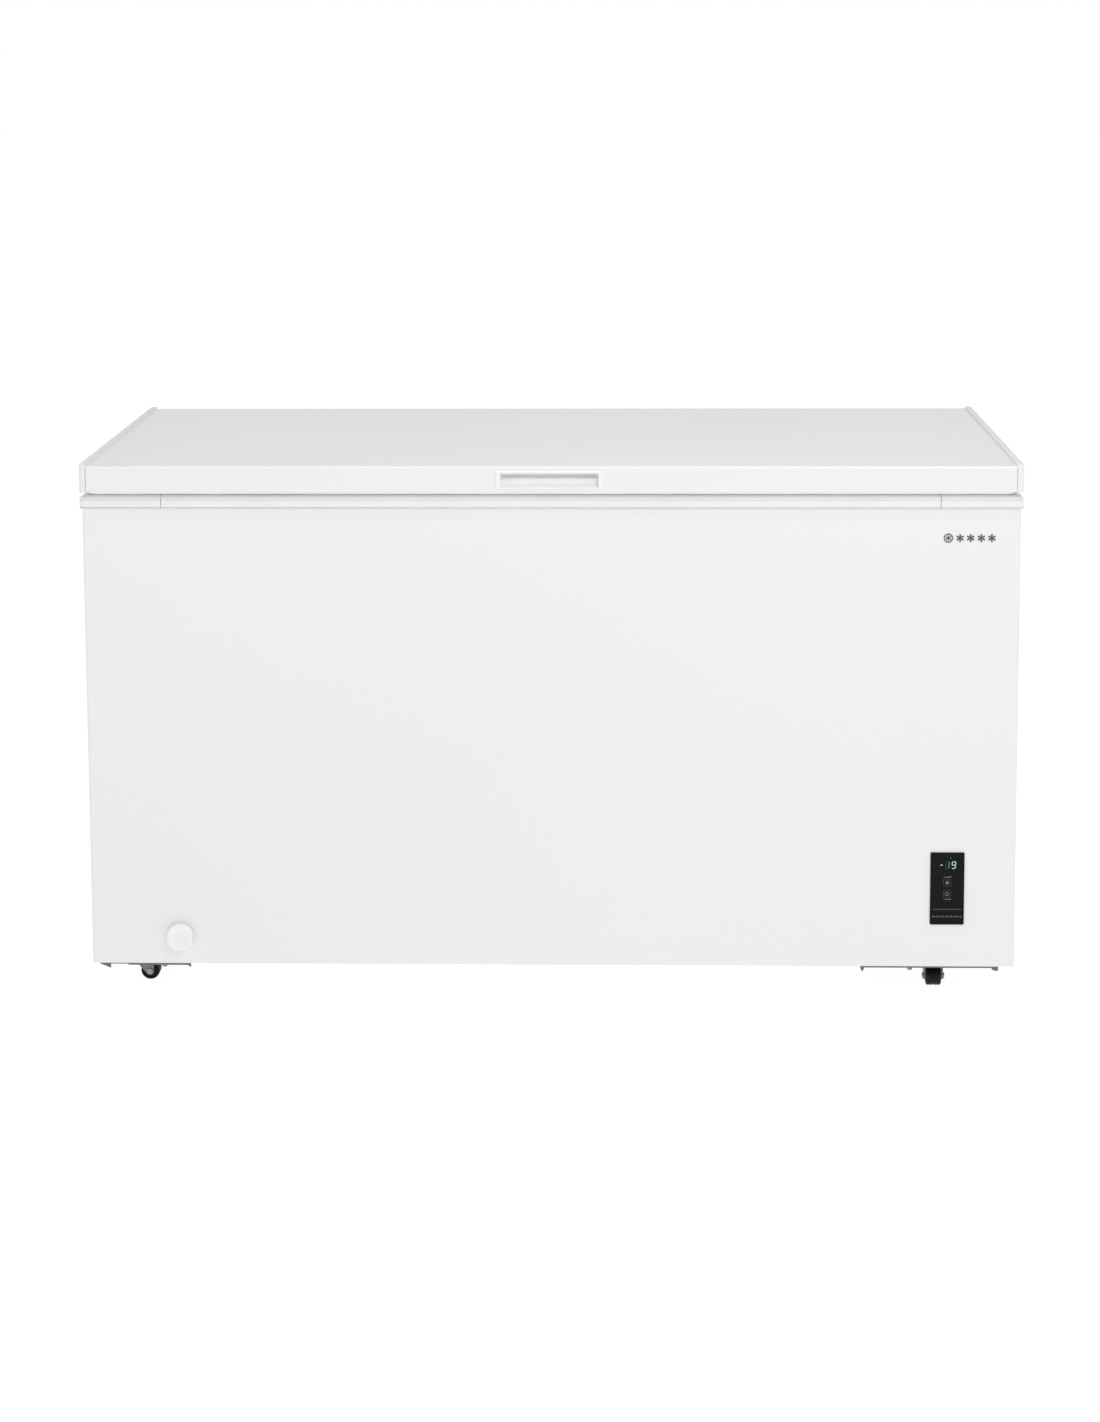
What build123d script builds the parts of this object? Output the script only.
from build123d import *
import math
import os

# Chest freezer. Millimetres. Origin on the floor under the middle of the overall box,
# +X to the right, +Y to the back, +Z up. The front faces -Y.

# ---- driving dimensions ----
cabinet_width = 1466.0
cabinet_depth = 694.0
lid_overhang = 3.5            # lid and collar stand proud of the cabinet all round
overall_height = 850.0
ground_clearance = 45.0       # floor to the underside of the cabinet
cabinet_top = 780.0
sheet = 0.8                   # painted steel sheet
cabinet_bend = 5.0            # radius of the wrapper's vertical corners
wall = 72.0                   # outer face of the cabinet to inner face of the liner
dial_protrusion = 15.0        # drain dial in front of the cabinet
hinge_projection = 31.0       # hinge brackets behind the cabinet
collar_height = 21.0
lid_thickness = 45.5
machine_width = 272.0         # machine compartment, at the right-hand end
machine_height = 284.0
caster_trail = 19.0
wheel_diameter = 30.0
wheel_width = 24.0
running = 0.05                # radial clearance of shafts and pins
lid_opening_gap = 0.3         # between the gasket and the collar

# ---- places worked out from them ----
half_width = cabinet_width / 2
overall_depth = dial_protrusion + cabinet_depth + hinge_projection
front = -overall_depth / 2 + dial_protrusion
back = front + cabinet_depth
lid_half = half_width + lid_overhang
lid_front = front - lid_overhang
lid_back = back + lid_overhang
lid_bottom = overall_height - lid_thickness
collar_top = cabinet_top + collar_height
inner_half = half_width - wall
inner_front = front + wall
inner_back = back - wall
pan_top = ground_clearance + 2 * sheet
floor_top = pan_top + 70.4
bulkhead_x = half_width - machine_width - 1.0
bulkhead_top = pan_top + machine_height
step_x = bulkhead_x - 56.0
step_top = bulkhead_top + 52.0
rail_bottom = ground_clearance - 2.5
liner_sheet = 1.5


# ---- helpers ----
def block(x0, x1, y0, y1, z0, z1):
    middle = ((x0 + x1) / 2, (y0 + y1) / 2, (z0 + z1) / 2)
    return Pos(*middle) * Box(abs(x1 - x0), abs(y1 - y0), abs(z1 - z0))


def rounded(solid, axis, radius, keep=None):
    """Round the edges that run along an axis, or only those that keep accepts."""
    edges = [e for e in solid.edges().filter_by(axis) if keep is None or keep(e.center())]
    return fillet(edges, radius)


def rod(start, direction, radius, length):
    """A cylinder from a point along X, Y or Z."""
    turn = {"x": Rot(0, 90, 0), "y": Rot(-90, 0, 0), "z": Rot(0, 0, 0)}[direction]
    body = Cylinder(radius, length, align=(Align.CENTER, Align.CENTER, Align.MIN))
    return Pos(*start) * turn * body


def along_x(outline, x0, x1):
    """Extrude an outline given in (y, z) from x0 to x1."""
    return Pos(x0, 0, 0) * extrude(Plane.YZ * outline, amount=x1 - x0)


def along_y(outline, y0, y1):
    """Extrude an outline given in (x, z) from y0 to y1."""
    return Pos(0, y0, 0) * extrude(Plane.XZ * outline, amount=y0 - y1)


def flat(points):
    return make_face(Polyline(*points, close=True))


def joined(solids):
    """One shape out of many."""
    whole = solids[0]
    for solid in solids[1:]:
        whole = whole + solid
    return whole


def cut(solid, *tools):
    for tool in tools:
        solid = solid - tool
    return solid


def group(solids):
    """Several separate solids in one node."""
    return Compound(children=[s for shape in solids for s in shape.solids()])


parts = {}


# ---- cabinet shell ----
drain_x = -591.0
drain_z = 90.7
drain_hole = 14.0
panel_x = 625.5
panel_z = 172.3
panel_size = (53.5, 117.0)
panel_cutout = (42.0, 104.0)
grille_y = 40.0
grille_z = 190.0
grille_opening = 140.0
grille_rim = 7.0
grille_pitch = 14.0
rear_return = 15.0
inner_bend = cabinet_bend - sheet


def make_outer_wrapper():
    def plan(inset, radius, low):
        shape = block(-half_width + inset, half_width - inset, front + inset, back - inset,
                      low, cabinet_top)
        return rounded(shape, Axis.Z, radius, lambda c: c.Y < 0)

    shell = plan(0, cabinet_bend, ground_clearance)
    shell = rounded(shell, Axis.Z, 0.7, lambda c: c.Y > back - 1)
    shell = shell - plan(sheet, inner_bend, ground_clearance + sheet)
    shell = cut(
        shell,
        block(-half_width + rear_return, half_width - rear_return, back - 2, back + 2, 0, cabinet_top + 1),
        block(-half_width + rear_return, half_width - rear_return, front + rear_return, back + 1,
              0, ground_clearance + 2),
        rod((drain_x, front - 1, drain_z), "y", drain_hole, 3),
        block(panel_x - panel_cutout[0] / 2, panel_x + panel_cutout[0] / 2, front - 1, front + 2,
              panel_z - panel_cutout[1] / 2, panel_z + panel_cutout[1] / 2),
        block(half_width - 2, half_width + 1, grille_y - grille_opening / 2, grille_y + grille_opening / 2,
              grille_z - grille_opening / 2, grille_z + grille_opening / 2),
    )
    return shell


panel_y = back - 2 * sheet    # inner face of the rear panel
bulkhead_sheet = 1.0


def make_rear_panel():
    plate = block(-half_width + sheet, half_width - sheet, panel_y, panel_y + sheet, pan_top, cabinet_top)
    return plate - block(bulkhead_x - 5, half_width, panel_y - 1, panel_y + 2, 0, bulkhead_top - 5)


def make_bottom_pan():
    pan = block(-half_width + sheet, bulkhead_x + bulkhead_sheet, front + sheet, panel_y,
                ground_clearance + sheet, pan_top)
    return rounded(pan, Axis.Z, inner_bend, lambda c: c.X < 0 and c.Y < 0)


def make_bulkhead():
    upright = block(bulkhead_x, bulkhead_x + bulkhead_sheet, front + sheet, panel_y, pan_top, bulkhead_top)
    ceiling = block(bulkhead_x, half_width - sheet, front + sheet, panel_y,
                    bulkhead_top, bulkhead_top + bulkhead_sheet)
    ceiling = rounded(ceiling, Axis.Z, inner_bend, lambda c: c.X > half_width - 1 - sheet and c.Y < 0)
    return upright + ceiling


parts["outer_wrapper"] = make_outer_wrapper()
parts["rear_panel"] = make_rear_panel()
parts["bottom_pan"] = make_bottom_pan()
parts["machine_bulkhead"] = make_bulkhead()


# ---- tub: liner, foam and the coils bedded in it ----
tub_corner = 25.0
tub_foot = 12.0               # radius round the tub's floors
rim_width = 20.0


def tub(grow):
    """The storage space grown outwards by grow, open at the top of the cabinet."""
    top = cabinet_top + 30

    def well(x0, x1, z0):
        shape = block(x0 - grow, x1 + grow, inner_front - grow, inner_back + grow, z0 - grow, top)
        shape = rounded(shape, Axis.Z, tub_corner + grow)
        return fillet(shape.faces().sort_by(Axis.Z)[0].edges(), tub_foot + grow)

    return well(-inner_half, step_x, floor_top) + well(-inner_half, inner_half, step_top)


space = tub(0)
liner_outside = tub(liner_sheet)
rim = block(-inner_half - rim_width, inner_half + rim_width, inner_front - rim_width,
            inner_back + rim_width, cabinet_top - liner_sheet, cabinet_top)
drain_y = inner_front + 34.0
drain_bore = 10.0
above_cabinet = block(-900, 900, -500, 500, cabinet_top, cabinet_top + 100)


def make_liner():
    liner = (liner_outside + rim) - space
    return cut(liner, above_cabinet, rod((drain_x, drain_y, floor_top - 5), "z", drain_bore, 12))


tube_height = 8.0             # both coils are flattened tube
evaporator_depth = 6.0
evaporator_levels = [step_top + 44 + 76 * i for i in range(5)]
evaporator_low_levels = [floor_top + 46 + 60 * i for i in range(4)]
riser_x = -300.0


def make_evaporator():
    """Rings of flattened tube round the liner, joined by a riser at the back."""
    def ring(x1, level):
        grow = liner_sheet + evaporator_depth
        low, high = level - tube_height / 2, level + tube_height / 2
        outside = block(-inner_half - grow, x1 + grow, inner_front - grow, inner_back + grow, low, high)
        outside = rounded(outside, Axis.Z, tub_corner + grow)
        inside = block(-inner_half - liner_sheet, x1 + liner_sheet, inner_front - liner_sheet,
                       inner_back + liner_sheet, low - 1, high + 1)
        return outside - rounded(inside, Axis.Z, tub_corner + liner_sheet)

    rings = [ring(inner_half, z) for z in evaporator_levels]
    rings += [ring(step_x, z) for z in evaporator_low_levels]
    near = inner_back + liner_sheet
    riser = block(riser_x - tube_height / 2, riser_x + tube_height / 2, near, near + evaporator_depth,
                  evaporator_low_levels[0], evaporator_levels[-1])
    return joined(rings + [riser])


condenser_depth = 5.0
condenser_levels = [bulkhead_top + 62 + 78 * i for i in range(5)]
condenser_end = back - 60.0
riser_inset = 30.0            # from the condenser's rear ends to its risers


def make_condenser():
    """Runs of flattened tube against the inside of the wrapper: left, front and right."""
    def run(level):
        low, high = level - tube_height / 2, level + tube_height / 2
        outside = block(-half_width + sheet, half_width - sheet, front + sheet, condenser_end, low, high)
        outside = rounded(outside, Axis.Z, inner_bend, lambda c: c.Y < 0)
        off = sheet + condenser_depth
        return outside - block(-half_width + off, half_width - off, front + off, back, low - 1, high + 1)

    risers = []
    for side in (-1, 1):
        wide = sorted((side * (half_width - sheet), side * (half_width - sheet - condenser_depth)))
        riser_y = condenser_end - riser_inset
        risers.append(block(*wide, riser_y, riser_y + tube_height,
                            condenser_levels[0], condenser_levels[-1]))
    return joined([run(z) for z in condenser_levels] + risers)


pipe_radius = 12.0


def drain_route(radius):
    """Down from the tub floor, then forward to the front of the cabinet."""
    down = rod((drain_x, drain_y, drain_z), "z", radius, floor_top - liner_sheet - drain_z)
    forward = rod((drain_x, front + sheet, drain_z), "y", radius, drain_y - front - sheet)
    return down + forward + Pos(drain_x, drain_y, drain_z) * Sphere(radius)


def make_foam():
    foam = block(-half_width + sheet, half_width - sheet, front + sheet, panel_y, pan_top, cabinet_top)
    foam = rounded(foam, Axis.Z, inner_bend, lambda c: c.Y < 0)
    foam = cut(foam, block(bulkhead_x, half_width, front, back, pan_top - 1, bulkhead_top + 1))
    foam = cut(foam, liner_outside, rim)
    foam = cut(foam, parts["evaporator_coil"], parts["condenser_coil"])
    foam = foam - block(drain_x - pipe_radius, drain_x + pipe_radius, front, drain_y + pipe_radius,
                        drain_z - pipe_radius, floor_top)
    return foam


def make_drain_pipe():
    return drain_route(pipe_radius) - drain_route(drain_bore)


parts["inner_liner"] = make_liner()
parts["evaporator_coil"] = make_evaporator()
parts["condenser_coil"] = make_condenser()
parts["insulation_foam"] = make_foam()
parts["drain_pipe"] = make_drain_pipe()


# ---- collar round the mouth of the tub ----
collar_face = 16.0            # height of the upright outer face
collar_slope = 11.0           # how far the sloping top edge runs inwards
collar_grooves = (            # z, height, depth
    (cabinet_top + 0.8, 1.2, 2.4),
    (cabinet_top + collar_face - 2.7, 1.2, 1.4),
)
collar_corner = 6.0
ledge_width = 12.0
ledge_z = cabinet_top + 7.0
corner_length = 128.0
seam = 0.8


def make_collar():
    middle_y = (lid_front + lid_back) / 2
    size = (2 * lid_half, lid_back - lid_front)
    outline = RectangleRounded(*size, collar_corner)
    lower = Pos(0, middle_y, cabinet_top) * extrude(outline, amount=collar_face)
    base = Pos(0, middle_y, cabinet_top + collar_face) * outline
    narrow = (size[0] - 2 * collar_slope, size[1] - 2 * collar_slope)
    top = Pos(0, middle_y, collar_top) * RectangleRounded(*narrow, 3)
    collar = lower + loft([base, top])
    for z, height, depth in collar_grooves:
        inside = RectangleRounded(size[0] - 2 * depth, size[1] - 2 * depth, collar_corner - depth)
        groove = RectangleRounded(size[0] + 10, size[1] + 10, collar_corner) - inside
        collar -= Pos(0, middle_y, z) * extrude(groove, amount=height)
    mouth = rounded(block(-inner_half, inner_half, inner_front, inner_back, 0, 900), Axis.Z, tub_corner)
    shelf = block(-inner_half - ledge_width, inner_half + ledge_width, inner_front - ledge_width,
                  inner_back + ledge_width, ledge_z, 900)
    return cut(collar, mouth, rounded(shelf, Axis.Z, tub_corner + ledge_width))


collar = make_collar()
corner_x = lid_half - corner_length
corner_y = (lid_front + corner_length, lid_back - corner_length)
long_zone = block(-corner_x + seam, corner_x - seam, -500, 500, 700, 900)
side_zone = block(-900, 900, corner_y[0] + seam, corner_y[1] - seam, 700, 900)
corner_zone = cut(block(-900, 900, -500, 500, 700, 900),
                  block(-corner_x, corner_x, -500, 500, 700, 900),
                  block(-900, 900, corner_y[0], corner_y[1], 700, 900))
parts["collar_strips"] = group([collar & long_zone, collar & side_zone])
parts["collar_corners"] = collar & corner_zone


# ---- base rails ----
rail_front = front + 3.0
rail_back = back - 10.0
lip_back = rail_front + 2.5
left_rail = (-half_width + 11.5, -half_width + 157.0)
right_rail = (half_width - 243.0, half_width - 24.7)
rail_screw_y = front + 10.0
rail_screws = (left_rail[0] + 102.5, right_rail[0] + 79.0, right_rail[1] - 5.3)
washer_radius = 4.6
washer_height = 1.2


def triangle_tab(x0, x1, drop):
    """A front tab turned down from a rail; the upright edge is at x1."""
    outline = flat([(x0, rail_bottom), (x1, rail_bottom), (x1, ground_clearance - drop)])
    return along_y(outline, rail_front, lip_back)


def make_left_rail():
    plate = block(*left_rail, rail_front, rail_back, rail_bottom, ground_clearance)
    lip = block(left_rail[0] + 45, left_rail[1], rail_front, lip_back,
                ground_clearance - 4.2, ground_clearance)
    tabs = [triangle_tab(left_rail[0], left_rail[0] + 17, 9.3),
            triangle_tab(left_rail[1] - 9, left_rail[1], 7.4)]
    return joined([plate, lip] + tabs)


def make_compressor_base():
    plate = block(*right_rail, rail_front, rail_back, rail_bottom, ground_clearance)
    lip = block(*right_rail, rail_front, lip_back, ground_clearance - 3.5, ground_clearance)
    x0, x1 = right_rail
    left_tab = along_y(flat([(x0, rail_bottom), (x0 + 7, rail_bottom), (x0 + 4.6, ground_clearance - 9),
                             (x0 + 2, ground_clearance - 9)]), rail_front, lip_back)
    right_tab = along_y(flat([(x1 - 12, rail_bottom), (x1, rail_bottom), (x1, ground_clearance - 7.6),
                              (x1 - 3, ground_clearance - 8.5), (x1 - 7, ground_clearance - 7)]),
                        rail_front, lip_back)
    return joined([plate, lip, left_tab, right_tab])


def make_rail_screws():
    """Washer-head screws that hold the rails to the cabinet's front flange."""
    screws = []
    for x in rail_screws:
        washer = rod((x, rail_screw_y, rail_bottom - washer_height), "z", washer_radius, washer_height)
        hexagon = extrude(RegularPolygon(3.4, 6, major_radius=False), amount=4.6)
        head = Pos(x, rail_screw_y, rail_bottom - 5.8) * hexagon
        shank = rod((x, rail_screw_y, rail_bottom), "z", 2.0, ground_clearance + sheet - rail_bottom)
        screws.append(joined([washer, head, shank]))
    return screws


# ---- casters: fixed plate, swivelling fork, axle and wheel ----
casters = {
    "front_left": (-half_width + 64.0, front + 65.0, 0.0),
    "front_right": (half_width - 123.0, front + 65.0, -90.0),
    "rear_left": (-half_width + 64.0, back - 65.0, 35.0),
    "rear_right": (half_width - 123.0, back - 65.0, 150.0),
}
plate_bottom = rail_bottom - 2.2
race_bottom = plate_bottom - 2.3
fork_top = race_bottom - 0.3
crown_bottom = fork_top - 2.2
rivet_radius = 4.0
axle_radius = 3.0
axle_z = wheel_diameter / 2
bolt_offset = 36.0
bolt_radius = 3.0
arm_inner = wheel_width / 2 + 1.2
arm_outer = arm_inner + 2.2
fork_nose = -9.5              # fork's edge beyond the swivel axis
fork_end = 6.2                # radius of the fork's end round the axle


def caster_place(name):
    x, y, heading = casters[name]
    return Pos(x, y, 0) * Rot(0, 0, heading)


def make_caster_plate(name):
    x, y, _ = casters[name]
    plate = block(-bolt_offset - 8, bolt_offset + 8, -19, 19, plate_bottom, rail_bottom)
    plate = rounded(plate, Axis.Z, 5)
    race = rod((0, 0, race_bottom), "z", 13, plate_bottom - race_bottom)
    rivet = rod((0, 0, crown_bottom - 0.3), "z", rivet_radius, race_bottom - crown_bottom + 0.3)
    head = rod((0, 0, crown_bottom - 2.5), "z", 6.5, 2.2)
    holes = [rod((side * bolt_offset, 0, 30), "z", bolt_radius, 20) for side in (-1, 1)]
    return Pos(x, y, 0) * cut(joined([plate, race, rivet, head]), *holes)


def make_caster_bolts(name):
    x, y, _ = casters[name]
    bolts = []
    for side in (-1, 1):
        head = Pos(0, 0, plate_bottom - 2.8) * extrude(RegularPolygon(5, 6, major_radius=False), amount=2.8)
        shank = rod((0, 0, plate_bottom), "z", bolt_radius, ground_clearance - plate_bottom)
        bolts.append(Pos(x + side * bolt_offset, y, 0) * (head + shank))
    return bolts


def make_fork():
    """Two side plates under a crown, in the fork's own frame with the swivel axis at the origin."""
    reach = math.hypot(caster_trail - fork_nose, fork_top - axle_z)
    slope = math.atan2(fork_top - axle_z, caster_trail - fork_nose)
    touch = -math.pi / 2 - slope - math.asin(fork_end / reach) + math.pi / 2
    tangent = (caster_trail + fork_end * math.cos(touch - math.pi / 2),
               axle_z + fork_end * math.sin(touch - math.pi / 2))
    side = flat([(fork_nose, fork_top), (caster_trail + fork_end, fork_top),
                 (caster_trail + fork_end, axle_z), (caster_trail, axle_z), tangent])
    side = side + Pos(caster_trail, axle_z) * Circle(fork_end)
    arms = [along_y(side, arm_inner, arm_outer), along_y(side, -arm_outer, -arm_inner)]
    crown = block(fork_nose, caster_trail + fork_end, -arm_outer, arm_outer, crown_bottom, fork_top)
    fork = joined([crown] + arms)
    return cut(fork, rod((0, 0, 20), "z", rivet_radius + running, 30),
               rod((caster_trail, -30, axle_z), "y", axle_radius, 60))


def make_axle():
    pin = rod((caster_trail, -arm_outer - 0.4, axle_z), "y", axle_radius, 2 * arm_outer + 0.8)
    heads = [rod((caster_trail, y, axle_z), "y", 4.6, 2.2) for y in (arm_outer, -arm_outer - 2.2)]
    return joined([pin] + heads)


def make_wheel():
    wheel = rod((caster_trail, -wheel_width / 2, axle_z), "y", wheel_diameter / 2, wheel_width)
    wheel = chamfer(wheel.edges().filter_by(GeomType.CIRCLE), 2.2)
    return wheel - rod((caster_trail, -20, axle_z), "y", axle_radius + running, 40)


fork, axle, wheel = make_fork(), make_axle(), make_wheel()
for name in casters:
    parts["caster_fork_" + name] = caster_place(name) * fork
    parts["caster_axle_" + name] = caster_place(name) * axle
    parts["caster_wheel_" + name] = caster_place(name) * wheel
bolts = [bolt for name in casters for bolt in make_caster_bolts(name)] + make_rail_screws()
parts["caster_plates"] = group([make_caster_plate(name) for name in casters])
parts["base_bolts"] = group(bolts)
parts["outer_wrapper"] = cut(parts["outer_wrapper"], *bolts)
parts["base_rail"] = cut(make_left_rail(), *bolts)
parts["compressor_base"] = cut(make_compressor_base(), *bolts)


# ---- drain: fitting, sliding spout, dial and the plug in the tub floor ----
fitting_radius = 19.0
spout_radius = 9.6
dial_radius = 20.75
dial_back = front - 3.3
dial_front = front - dial_protrusion
hub_radius = 6.0
plug_top = floor_top + 5.0


def make_drain_fitting():
    flange = rod((drain_x, front - 3, drain_z), "y", fitting_radius, 3)
    flange = chamfer(flange.edges().filter_by(GeomType.CIRCLE).group_by(Axis.Y)[0], 1)
    collar_ring = rod((drain_x, front, drain_z), "y", drain_hole, sheet)
    return cut(flange + collar_ring, rod((drain_x, front - 5, drain_z), "y", drain_bore, 10))


def make_drain_spout():
    tube = rod((drain_x, front - 3, drain_z), "y", spout_radius, 43)
    tube = tube - rod((drain_x, front + 1, drain_z), "y", spout_radius - 2, 60)
    outlet = block(drain_x - 5, drain_x + 5, front + 3, front + 11, drain_z - 20, drain_z)
    hub = rod((drain_x, front - 9, drain_z), "y", hub_radius, 7)
    return (tube - outlet) + hub


def make_drain_dial():
    dial = rod((drain_x, dial_front, drain_z), "y", dial_radius, dial_back - dial_front)
    dial = fillet(dial.edges().filter_by(GeomType.CIRCLE).group_by(Axis.Y)[0], 1.6)
    dish = Pos(drain_x, dial_front - 41.0, drain_z) * Sphere(44.5)
    pointer = along_y(Pos(drain_x, drain_z) * flat([(-3.6, -2.4), (3.6, -2.4), (0, 4.2)]),
                      dial_front + 2.2, dial_front + 5.2)
    body = dial - (dish & rod((drain_x, dial_front - 1, drain_z), "y", dial_radius - 3.2, 9))
    body = body + pointer
    back_bore = rod((drain_x, front - 9.3, drain_z), "y", hub_radius + running, 7)
    return body - back_bore


def make_drain_plug():
    stem = rod((drain_x, drain_y, floor_top - 9), "z", drain_bore - 0.3, 9.3)
    head = rod((drain_x, drain_y, floor_top + 0.3), "z", 16, plug_top - floor_top - 0.3)
    head = fillet(head.edges().filter_by(GeomType.CIRCLE).group_by(Axis.Z)[-1], 1.5)
    grip = block(drain_x - 7, drain_x + 7, drain_y - 1.8, drain_y + 1.8, plug_top - 1, plug_top + 9)
    grip = rounded(grip, Axis.Y, 4, lambda c: c.Z > plug_top)
    return joined([stem, head, grip])


parts["drain_fitting"] = make_drain_fitting()
parts["drain_spout"] = make_drain_spout()
parts["drain_dial"] = make_drain_dial()
parts["drain_plug"] = make_drain_plug()


# ---- control module at the lower right of the front ----
fascia_back = front
fascia_front = front - 2.0
key_gap = 0.25
key_corner = 3.2
keys = {"mode_key": (182.1, 13.2, 13.6), "power_key": (164.0, 13.2, 14.4)}
window = (panel_x - 19, panel_x + 19, 202.5, 225.0)
housing_depth = 32.0
board_y = front + 12.0


def make_fascia():
    plate = block(panel_x - panel_size[0] / 2, panel_x + panel_size[0] / 2, fascia_front, fascia_back,
                  panel_z - panel_size[1] / 2, panel_z + panel_size[1] / 2)
    plate = rounded(plate, Axis.Y, 2)
    plate = chamfer(plate.faces().sort_by(Axis.Y)[0].edges(), 0.4)
    plate = plate - block(window[0], window[1], fascia_front - 1, fascia_back + 1, window[2], window[3])
    for z, wide, tall in keys.values():
        hole = block(panel_x - wide / 2, panel_x + wide / 2, fascia_front - 1, fascia_back + 1,
                     z - tall / 2, z + tall / 2)
        plate = plate - rounded(hole, Axis.Y, key_corner)
    return plate


def make_key(name):
    z, wide, tall = keys[name]
    half_w, half_t = wide / 2 - key_gap, tall / 2 - key_gap
    pad = block(panel_x - half_w, panel_x + half_w, fascia_front - 0.2, front + 1, z - half_t, z + half_t)
    pad = rounded(pad, Axis.Y, key_corner - key_gap)
    skirt = block(panel_x - half_w - 1, panel_x + half_w + 1, front + 0.3, front + 1.5,
                  z - half_t - 0.8, z + half_t + 0.8)
    return pad + skirt


def make_control_housing():
    x0, x1 = panel_x - 24, panel_x + 24
    z0, z1 = panel_z - 55, panel_z + 55
    box = block(x0, x1, front + sheet, front + housing_depth, z0, z1)
    return box - block(x0 + 2, x1 - 2, front, front + housing_depth - 2, z0 + 2, z1 - 2)


def make_control_board():
    board = block(panel_x - 20, panel_x + 20, board_y, board_y + 1.6, panel_z - 50, panel_z + 50)
    display = block(panel_x - 15, panel_x + 15, front + 1.5, board_y, 205, 222)
    switches = [block(panel_x - 3, panel_x + 3, front + 4, board_y, z - 3, z + 3)
                for z, _, _ in keys.values()]
    return joined([board, display] + switches)


parts["control_fascia"] = make_fascia()
parts["display_window"] = block(window[0], window[1], fascia_front, fascia_back, window[2], window[3])
parts["control_housing"] = make_control_housing()
parts["control_board"] = make_control_board()
for name in keys:
    parts[name] = make_key(name)


# ---- side grille, rear cover and cable gland ----
cover_y = panel_y + sheet
cover_sheet = 1.0
hood_width = 100.0
cover = (bulkhead_x - 14, half_width - 16, 52.0, bulkhead_top + 8)
gland_x = 680.0
gland_z = 72.0
gland_bore = 4.0


def make_side_grille():
    half = grille_opening / 2
    reach = half + grille_rim
    x0 = half_width
    rim_plate = block(x0, x0 + 2, grille_y - reach, grille_y + reach, grille_z - reach, grille_z + reach)
    rim_plate = rounded(rim_plate, Axis.X, 6)
    sleeve = block(x0 - 6, x0 + 1, grille_y - half, grille_y + half, grille_z - half, grille_z + half)
    grille = rim_plate + sleeve
    for i in range(9):
        z = grille_z + (i - 4) * grille_pitch
        for y in (grille_y - 33.5, grille_y + 33.5):
            slot = Pos(x0 - 2, y, z) * Rot(0, 30, 0) * Box(30, 59, 6)
            grille = grille - slot
    return grille


def make_rear_cover():
    plate = block(cover[0], cover[1], cover_y, cover_y + cover_sheet, cover[2], cover[3])
    hoods = []
    for i in range(9):
        z = 110 + 22 * i
        outline = flat([(cover_y + cover_sheet - 0.2, z + 12), (cover_y + 5, z + 5), (cover_y + 5, z + 4),
                        (cover_y + 4, z + 4), (cover_y + cover_sheet - 0.2, z + 10)])
        for x in (cover[0] + 26, cover[0] + 142):
            plate = plate - block(x, x + hood_width, cover_y - 1, cover_y + 2, z + 3, z + 9)
            hoods.append(along_x(outline, x, x + hood_width))
    return joined([plate] + hoods) - rod((gland_x, cover_y - 5, gland_z), "y", 8, 12)


def make_cable_gland():
    flange = rod((gland_x, cover_y + cover_sheet, gland_z), "y", 14, 3)
    flange = chamfer(flange.edges().filter_by(GeomType.CIRCLE).group_by(Axis.Y)[-1], 1)
    sleeve = rod((gland_x, cover_y - 8, gland_z), "y", 8, 8 + cover_sheet)
    inner_ring = rod((gland_x, cover_y - 3, gland_z), "y", 11, 3)
    return joined([flange, sleeve, inner_ring]) - rod((gland_x, cover_y - 20, gland_z), "y", gland_bore, 40)


parts["side_grille"] = make_side_grille()
parts["rear_cover"] = make_rear_cover()
parts["cable_gland"] = make_cable_gland()


# ---- machine compartment ----
compressor_x = 600.0
compressor_y = 150.0
shell_radius = 84.0
shell_bottom = 61.0
shell_height = 168.0
foot_x = 88.0
foot_y = 62.0
foot_margin = 14.0
foot_sheet = 3.0
drier_x = 486.0
drier_y = 20.0


def make_compressor_shell():
    pot = rod((compressor_x, compressor_y, shell_bottom), "z", shell_radius, shell_height)
    ends = pot.edges().filter_by(GeomType.CIRCLE)
    pot = fillet(ends.group_by(Axis.Z)[0] + ends.group_by(Axis.Z)[-1], 34)
    weld = rod((compressor_x, compressor_y, shell_bottom + 96), "z", shell_radius + 3, 6)
    return pot + weld


def make_compressor_feet():
    half_x, half_y = foot_x + foot_margin, foot_y + foot_margin
    plate = block(compressor_x - half_x, compressor_x + half_x,
                  compressor_y - half_y, compressor_y + half_y, shell_bottom - foot_sheet, shell_bottom)
    plate = rounded(plate, Axis.Z, 12)
    for x in (-foot_x, foot_x):
        for y in (-foot_y, foot_y):
            plate = plate - rod((compressor_x + x, compressor_y + y, 50), "z", 7, 20)
    return plate


def make_grommets():
    grommets = []
    for x in (-foot_x, foot_x):
        for y in (-foot_y, foot_y):
            place = (compressor_x + x, compressor_y + y)
            low = rod((*place, ground_clearance), "z", 11, shell_bottom - foot_sheet - ground_clearance)
            neck = rod((*place, shell_bottom - foot_sheet), "z", 7, foot_sheet)
            cap = rod((*place, shell_bottom), "z", 10, 5)
            grommets.append(joined([low, neck, cap]))
    return grommets


compressor_shell = make_compressor_shell()


def bent_tube(points, radius, bend):
    path = FilletPolyline(*points, radius=bend)
    first, second = Vector(*points[0]), Vector(*points[1])
    return sweep(Plane(origin=first, z_dir=second - first) * Circle(radius), path=path)


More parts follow.
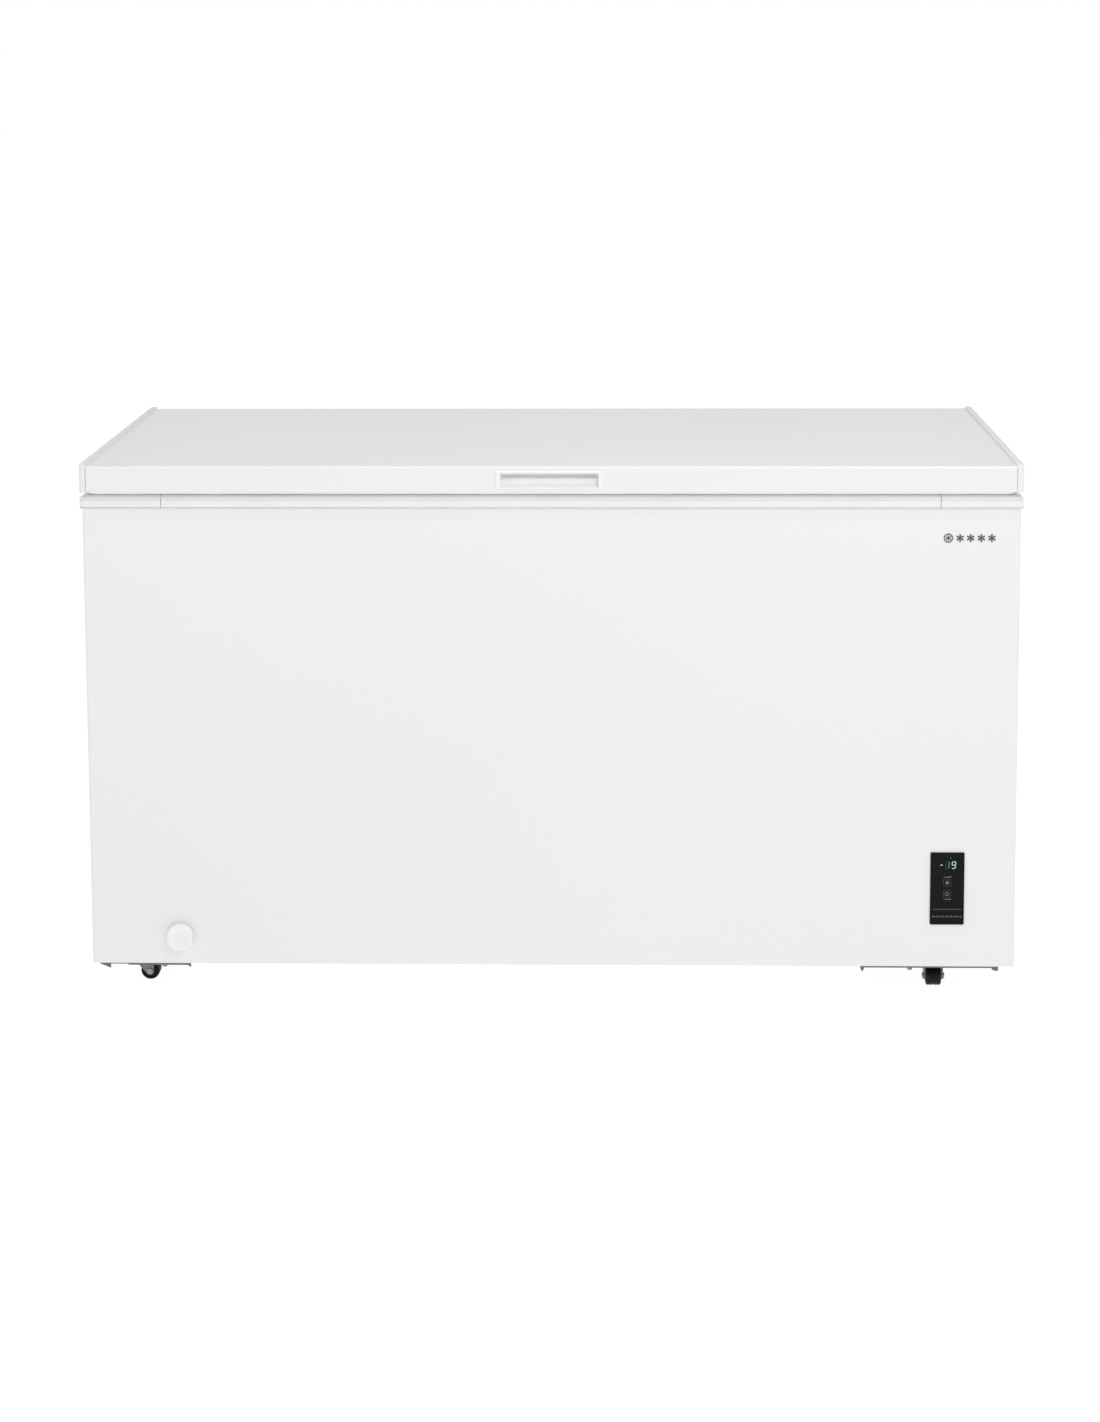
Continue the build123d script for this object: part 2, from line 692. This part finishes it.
def make_tubes():
    ceiling = bulkhead_top - 0.2
    discharge = bent_tube([(560, 150, 205), (560, 150, 285), (500, 150, 285), (500, 150, ceiling)], 3.2, 16)
    suction = bent_tube([(610, 200, 190), (610, 272, 190), (610, 272, ceiling)], 4.0, 20)
    process = bent_tube([(640, 150, 205), (640, 150, 268), (640, 120, 268)], 3.2, 14)
    drier_out = bent_tube([(drier_x, drier_y, 302), (drier_x, drier_y, 316),
                           (drier_x, drier_y + 40, 316), (drier_x, drier_y + 40, ceiling)], 1.6, 6)
    return [tube - compressor_shell for tube in (discharge, suction, process, drier_out)]


def make_filter_drier():
    upright = (Align.CENTER, Align.CENTER, Align.MIN)
    body = rod((drier_x, drier_y, 190), "z", 10, 90)
    upper = Pos(drier_x, drier_y, 280) * Cone(10, 3, 22, align=upright)
    lower = Pos(drier_x, drier_y, 168) * Cone(3, 10, 22, align=upright)
    return joined([body, upper, lower])


def make_starter_box():
    box = block(compressor_x + 60, compressor_x + 118, compressor_y - 34, compressor_y + 34, 112, 186)
    return rounded(box, Axis.Z, 5) - compressor_shell


parts["compressor_shell"] = compressor_shell
parts["compressor_feet"] = make_compressor_feet()
parts["compressor_grommets"] = group(make_grommets())
parts["starter_box"] = make_starter_box()
parts["refrigerant_tubes"] = group(make_tubes())
parts["filter_drier"] = make_filter_drier()


# ---- lid ----
cap_width = 11.5
skin_half = lid_half - cap_width
skin_top = overall_height - 3.0
skin_bottom = lid_bottom + 2.0
skin_bend = 4.0
lid_liner_top = skin_bottom + 1.5
dome_bottom = collar_top - 4.0
dome = (-inner_half + 13, inner_half - 13, inner_front + 13, inner_back - 13)
handle_bezel = (169.0, 28.5)
handle_mouth = (153.0, 22.5)
handle_z = 826.0
handle_depth = 20.0
ramp_depth = 12.0             # the scoop's sloping front part
ramp_height = 13.5
handle_lip = 3.0
bezel_thickness = 2.6
mouth_low = handle_z - handle_mouth[1] / 2 - 1.5
mouth_high = mouth_low + handle_mouth[1]
gasket_inset = 12.5           # from the lid's sides and back
gasket_front_inset = 2.5
cap_groove = (1.2, 2.0)       # width and depth of the line between a cap and the skin, at the front
skin_flange = 10.0            # skin folded in under the lid
scoop_ceiling = mouth_high + 1.5
handle_wall = 2.5
gasket_width = 28.0


def lid_block(inset, low, high, radius):
    shape = block(-skin_half, skin_half, lid_front + inset, lid_back - inset, low, high)
    return rounded(shape, Axis.X, radius, lambda c: c.Z > (low + high) / 2)


def handle_body():
    half = handle_mouth[0] / 2 + handle_wall
    body = block(-half, half, lid_front, lid_front + handle_depth + handle_wall,
                 handle_z - 13.6, scoop_ceiling + 2.3)
    return rounded(body, Axis.Y, 4)


def make_lid_skin():
    skin = lid_block(0, skin_bottom, skin_top, skin_bend)
    hollow = lid_block(sheet, skin_bottom + sheet, skin_top - sheet, skin_bend - sheet)
    opening = block(-skin_half - 1, skin_half + 1, lid_front + skin_flange, lid_back - skin_flange,
                    skin_bottom - 1, skin_bottom + 2)
    return cut(skin, hollow, opening, handle_body())


def dome_block(shrink):
    shape = block(dome[0] + shrink, dome[1] - shrink, dome[2] + shrink, dome[3] - shrink,
                  dome_bottom + shrink, lid_liner_top + (1 if shrink else 0))
    shape = rounded(shape, Axis.Z, tub_corner - shrink)
    return fillet(shape.faces().sort_by(Axis.Z)[0].edges(), 6 - shrink)


def make_lid_foam():
    foam = lid_block(sheet, lid_liner_top, skin_top - sheet, skin_bend - sheet)
    below = block(-900, 900, -500, 500, 700, lid_liner_top)
    return cut(foam, handle_body()) + (dome_block(liner_sheet) & below)


def make_lid_liner():
    plate = block(-skin_half, skin_half, lid_front + skin_flange, lid_back - skin_flange,
                  skin_bottom, lid_liner_top)
    return (plate + dome_block(0)) - dome_block(liner_sheet)


def make_lid_cap(side):
    inner, outer = sorted((side * skin_half, side * lid_half))
    cap = block(inner, outer, lid_front, lid_back, lid_bottom, overall_height)
    cap = rounded(cap, Axis.Z, 6, lambda c: abs(c.X) > lid_half - 1)
    outside = [e for e in cap.edges()
               if e.center().Z > overall_height - 0.1 and abs(e.center().X) > skin_half + 1]
    width, depth = cap_groove
    start, stop = sorted((side * skin_half, side * (skin_half + width)))
    groove = block(start, stop, lid_front - 1, lid_front + depth, lid_bottom - 1, overall_height + 1)
    return fillet(outside, 2.2) - groove


def make_gasket():
    x, y0, y1 = lid_half - gasket_inset, lid_front + gasket_front_inset, lid_back - gasket_inset
    low = collar_top + lid_opening_gap
    strip = rounded(block(-x, x, y0, y1, low, skin_bottom), Axis.Z, 10)
    inside = block(-x + gasket_width, x - gasket_width, y0 + gasket_width, y1 - gasket_width, low - 1, 900)
    near, far = gasket_width / 2 - 3, gasket_width / 2 + 3
    channel = cut(block(-x + near, x - near, y0 + near, y1 - near, low - 1, low + 1.6),
                  block(-x + far, x - far, y0 + far, y1 - far, low - 2, low + 2))
    return cut(strip, rounded(inside, Axis.Z, 4), channel)


def make_lid_handle():
    """A bezel round a scoop whose back rises behind the upper lip, for the fingers."""
    bezel = block(-handle_bezel[0] / 2, handle_bezel[0] / 2, lid_front - bezel_thickness, lid_front,
                  handle_z - handle_bezel[1] / 2, handle_z + handle_bezel[1] / 2)
    bezel = rounded(bezel, Axis.Y, 6)
    bezel = fillet(bezel.faces().sort_by(Axis.Y)[0].edges(), bezel_thickness - 0.3)
    outside, deep = lid_front - bezel_thickness - 2, lid_front + handle_depth
    lip_y, ramp_y, ramp_z = lid_front + handle_lip, lid_front + ramp_depth, mouth_low + ramp_height
    scoop = make_face([
        Line((outside, mouth_high), (lip_y, mouth_high)),
        Line((lip_y, mouth_high), (lip_y, scoop_ceiling)),
        Line((lip_y, scoop_ceiling), (deep - 2, scoop_ceiling)),
        Line((deep - 2, scoop_ceiling), (deep, scoop_ceiling - 2)),
        Line((deep, scoop_ceiling - 2), (deep, ramp_z + 1.5)),
        Line((deep, ramp_z + 1.5), (ramp_y, ramp_z)),
        ThreePointArc((ramp_y, ramp_z), (ramp_y - 3.8, mouth_low + 6), (lid_front + 1, mouth_low)),
        Line((lid_front + 1, mouth_low), (outside, mouth_low)),
        Line((outside, mouth_low), (outside, mouth_high)),
    ])
    half = handle_mouth[0] / 2
    plan = rounded(block(-half, half, outside - 30, deep, mouth_low - 1, scoop_ceiling + 1), Axis.Z, 14,
                   lambda c: c.Y > deep - 1)
    return (bezel + handle_body()) - (along_x(scoop, -half, half) & plan)


parts["lid_skin"] = make_lid_skin()
parts["lid_foam"] = make_lid_foam()
parts["lid_liner"] = make_lid_liner()
parts["lid_cap_left"] = make_lid_cap(-1)
parts["lid_cap_right"] = make_lid_cap(1)
parts["lid_gasket"] = make_gasket()
parts["lid_handle"] = make_lid_handle()


# ---- lid hinges behind the cabinet ----
hinge_x = 455.0
ear_radius = 11.0
pivot_y = back + hinge_projection - ear_radius
pivot_z = lid_bottom + 1.5
pin_radius = 4.0
ear_inner = 24.0
barrel_radius = 7.5
leaf_half = 18.0
screw_radius = 2.0


def make_bracket(x):
    base = rounded(block(-31, 31, back, back + 2, 690, cabinet_top - 5), Axis.Y, 4)
    ear = flat([(back + 2, 700), (back + 2, cabinet_top - 6), (pivot_y - ear_radius, cabinet_top + 2),
                (pivot_y - ear_radius, pivot_z), (pivot_y + ear_radius, pivot_z),
                (pivot_y + ear_radius, cabinet_top - 12)])
    ear = ear + Pos(pivot_y, pivot_z) * Circle(ear_radius)
    ear = ear - Pos(pivot_y, pivot_z) * Circle(pin_radius)
    ears = [along_x(ear, ear_inner, ear_inner + 2), along_x(ear, -ear_inner - 2, -ear_inner)]
    return Pos(x, 0, 0) * joined([base] + ears)


def make_pin(x):
    pin = rod((-ear_inner - 2, pivot_y, pivot_z), "x", pin_radius, 2 * ear_inner + 4)
    heads = [rod((start, pivot_y, pivot_z), "x", 6, 2) for start in (-ear_inner - 4, ear_inner + 2)]
    return Pos(x, 0, 0) * joined([pin] + heads)


def make_spring(x, side):
    """A short torsion spring round the pin, with one leg down to the bracket."""
    wire, coil = 0.9, 5.6
    turns = [Pos(side * (19.7 + 1.5 * i), pivot_y, pivot_z) * Rot(0, 90, 0) * Torus(coil, wire)
             for i in range(3)]
    leg = rod((side * 22.7, pivot_y - coil, pivot_z - 24), "z", wire, 24)
    return Pos(x, 0, 0) * joined(turns + [leg])


def make_leaf(x):
    plate = rounded(block(-leaf_half - 4, leaf_half + 4, lid_back, lid_back + 2.5, 812, 844), Axis.Y, 3)
    arm = flat([(lid_back + 2, 813), (lid_back + 2, 830), (pivot_y + 4, pivot_z + 6), (pivot_y, pivot_z)])
    arm = arm + Pos(pivot_y, pivot_z) * Circle(barrel_radius)
    arm = arm - Pos(pivot_y, pivot_z) * Circle(pin_radius + running)
    return Pos(x, 0, 0) * (plate + along_x(arm, -leaf_half, leaf_half))


def make_screw(x, y, z):
    """A pan-head screw driven forwards, its head seated at y."""
    head = rod((x, y, z), "y", 4.2, 2.4)
    head = fillet(head.edges().filter_by(GeomType.CIRCLE).group_by(Axis.Y)[-1], 1.2)
    cross = joined([block(x - 2, x + 2, y + 1.4, y + 3, z - 0.4, z + 0.4),
                    block(x - 0.4, x + 0.4, y + 1.4, y + 3, z - 2, z + 2)])
    return (head - cross) + rod((x, y - 6, z), "y", screw_radius, 6.2)


hinge_sides = (-hinge_x, hinge_x)
bracket_screws = [make_screw(x + dx, back + 2, z)
                  for x in hinge_sides for dx in (-15, 15) for z in (702, 762)]
cover_screws = [make_screw(x, cover_y + cover_sheet, z)
                for x, z in ((cover[0] + 5, 80), (cover[0] + 5, 200), (cover[0] + 5, cover[3] - 4),
                             (600, cover[3] - 4), (cover[1] - 8, cover[3] - 4))]
leaf_screws = [make_screw(x + dx, lid_back + 2.5, 838.5) for x in hinge_sides for dx in (-12, 12)]
parts["hinge_brackets"] = group([cut(make_bracket(x), *bracket_screws) for x in hinge_sides])
parts["hinge_pins"] = group([make_pin(x) for x in hinge_sides])
parts["hinge_springs"] = group([make_spring(x, side) for x in hinge_sides for side in (-1, 1)])
parts["hinge_leaves"] = group([cut(make_leaf(x), *leaf_screws) for x in hinge_sides])
parts["rear_screws"] = group(bracket_screws + cover_screws)
parts["leaf_screws"] = group(leaf_screws)
for name in ("rear_panel", "insulation_foam", "machine_bulkhead", "outer_wrapper"):
    parts[name] = cut(parts[name], *bracket_screws, *cover_screws)
parts["rear_cover"] = cut(parts["rear_cover"], *cover_screws)
parts["lid_skin"] = cut(parts["lid_skin"], *leaf_screws)
parts["lid_foam"] = cut(parts["lid_foam"], *leaf_screws)


# ---- wire basket hung on the collar's ledges ----
basket_x = (-inner_half + 8.0, -inner_half + 268.0)
basket_bottom = 600.0
basket_wall = 4.0
basket_rim = 5.0
basket_corner = 24.0
hook_inset = 50.0             # from the basket's sides to the middle of each hook
hook_half = 20.0


def make_basket():
    rim_z = ledge_z + 0.3
    y0, y1 = inner_front + 5, inner_back - 5
    box = rounded(block(*basket_x, y0, y1, basket_bottom, rim_z + basket_rim), Axis.Z, basket_corner)
    inside = block(basket_x[0] + basket_wall, basket_x[1] - basket_wall, y0 + basket_wall, y1 - basket_wall,
                   basket_bottom + basket_wall, 900)
    inside = rounded(inside, Axis.Z, basket_corner - basket_wall)
    hooks = []
    for x in (basket_x[0] + hook_inset, basket_x[1] - hook_inset):
        for inner, outer in ((y0, inner_front - ledge_width + 2), (y1, inner_back + ledge_width - 2)):
            hooks.append(block(x - hook_half, x + hook_half, min(inner, outer), max(inner, outer),
                               rim_z, rim_z + basket_rim))
    return joined([box - inside] + hooks)


parts["wire_basket"] = make_basket()


# ---- write one file per node ----
os.makedirs("parts", exist_ok=True)
for name, shape in parts.items():
    export_step(shape, f"parts/{name}.step")
print(len(parts), "nodes")
